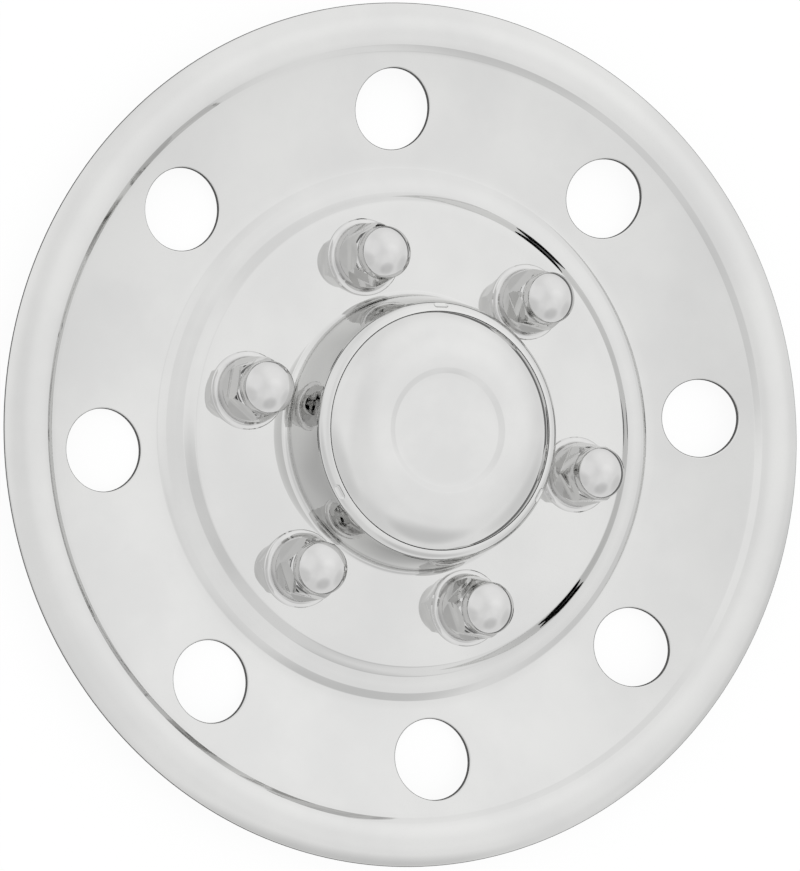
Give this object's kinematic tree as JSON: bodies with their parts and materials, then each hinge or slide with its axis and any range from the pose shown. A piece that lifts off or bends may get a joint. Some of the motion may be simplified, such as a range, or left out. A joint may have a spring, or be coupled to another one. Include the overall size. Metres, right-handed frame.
{
  "type": "truck wheel simulator",
  "caption": "Polished stainless wheel liner with hand holes, a raised hub collar with a domed cap, and domed hex covers over the wheel nuts.",
  "frame": {"origin": "centre of the face that the turned-back rim rests on, on the wheel's axis", "axes": "+Z along the wheel's axis, out of the polished face; +X and +Y to the right and up in the picture"},
  "size_m": [0.4233, 0.4234, 0.0499],
  "materials": {
    "liner_steel": "mirror-polished stainless sheet",
    "cap_steel": "mirror-polished stainless sheet",
    "cover_steel": "mirror-polished drawn stainless",
    "spring_steel": "plain rolled spring steel",
    "nylon": "natural moulded nylon"
  },
  "bodies": {
    "root": {"liner_rim": "liner_steel", "liner_disc_outer": "liner_steel", "liner_disc_inner": "liner_steel", "liner_plate": "liner_steel", "liner_collar": "liner_steel", "liner_spoke_1": "liner_steel", "liner_spoke_2": "liner_steel", "liner_spoke_3": "liner_steel", "liner_spoke_4": "liner_steel", "liner_spoke_5": "liner_steel", "liner_spoke_6": "liner_steel", "liner_spoke_7": "liner_steel", "liner_spoke_8": "liner_steel", "centre_cap": "cap_steel", "lug_cover_1": "cover_steel", "lug_cover_2": "cover_steel", "lug_cover_3": "cover_steel", "lug_cover_4": "cover_steel", "lug_cover_5": "cover_steel", "lug_cover_6": "cover_steel", "push_ring_1": "spring_steel", "push_ring_2": "spring_steel", "push_ring_3": "spring_steel", "push_ring_4": "spring_steel", "push_ring_5": "spring_steel", "push_ring_6": "spring_steel", "nut_grip_1": "nylon", "nut_grip_2": "nylon", "nut_grip_3": "nylon", "nut_grip_4": "nylon", "nut_grip_5": "nylon", "nut_grip_6": "nylon"}
  },
  "joints": []
}
